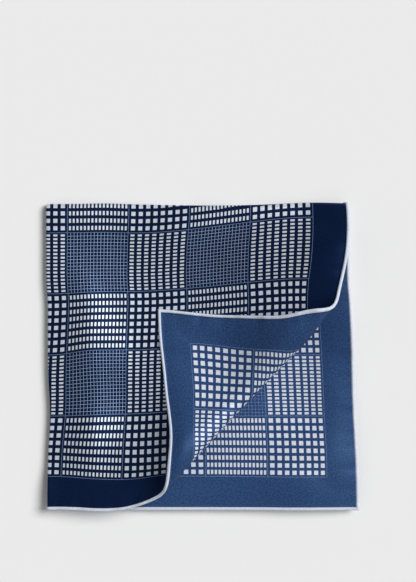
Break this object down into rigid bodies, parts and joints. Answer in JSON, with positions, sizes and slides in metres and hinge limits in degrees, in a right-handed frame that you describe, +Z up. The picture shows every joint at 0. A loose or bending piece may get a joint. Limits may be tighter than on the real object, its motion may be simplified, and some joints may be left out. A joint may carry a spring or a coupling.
{
  "type": "folded pocket square",
  "caption": "Square printed silk handkerchief with a pale rolled hem, folded in quarters and laid flat, its top corner turned back over a soft roll. Tucks into a breast pocket.",
  "frame": {"origin": "on the surface that the cloth lies on, under the middle of its outline", "axes": "+Z up out of the surface, +X from the first fold to the side hems, +Y from the near hems to the second fold"},
  "size_m": [0.167, 0.1642, 0.0231],
  "materials": {
    "printed_silk": "navy silk twill with a white and light blue checked print, softly shiny, rolled hem in off-white thread"
  },
  "bodies": {
    "root": {"pocket_square": "printed_silk"}
  },
  "joints": []
}
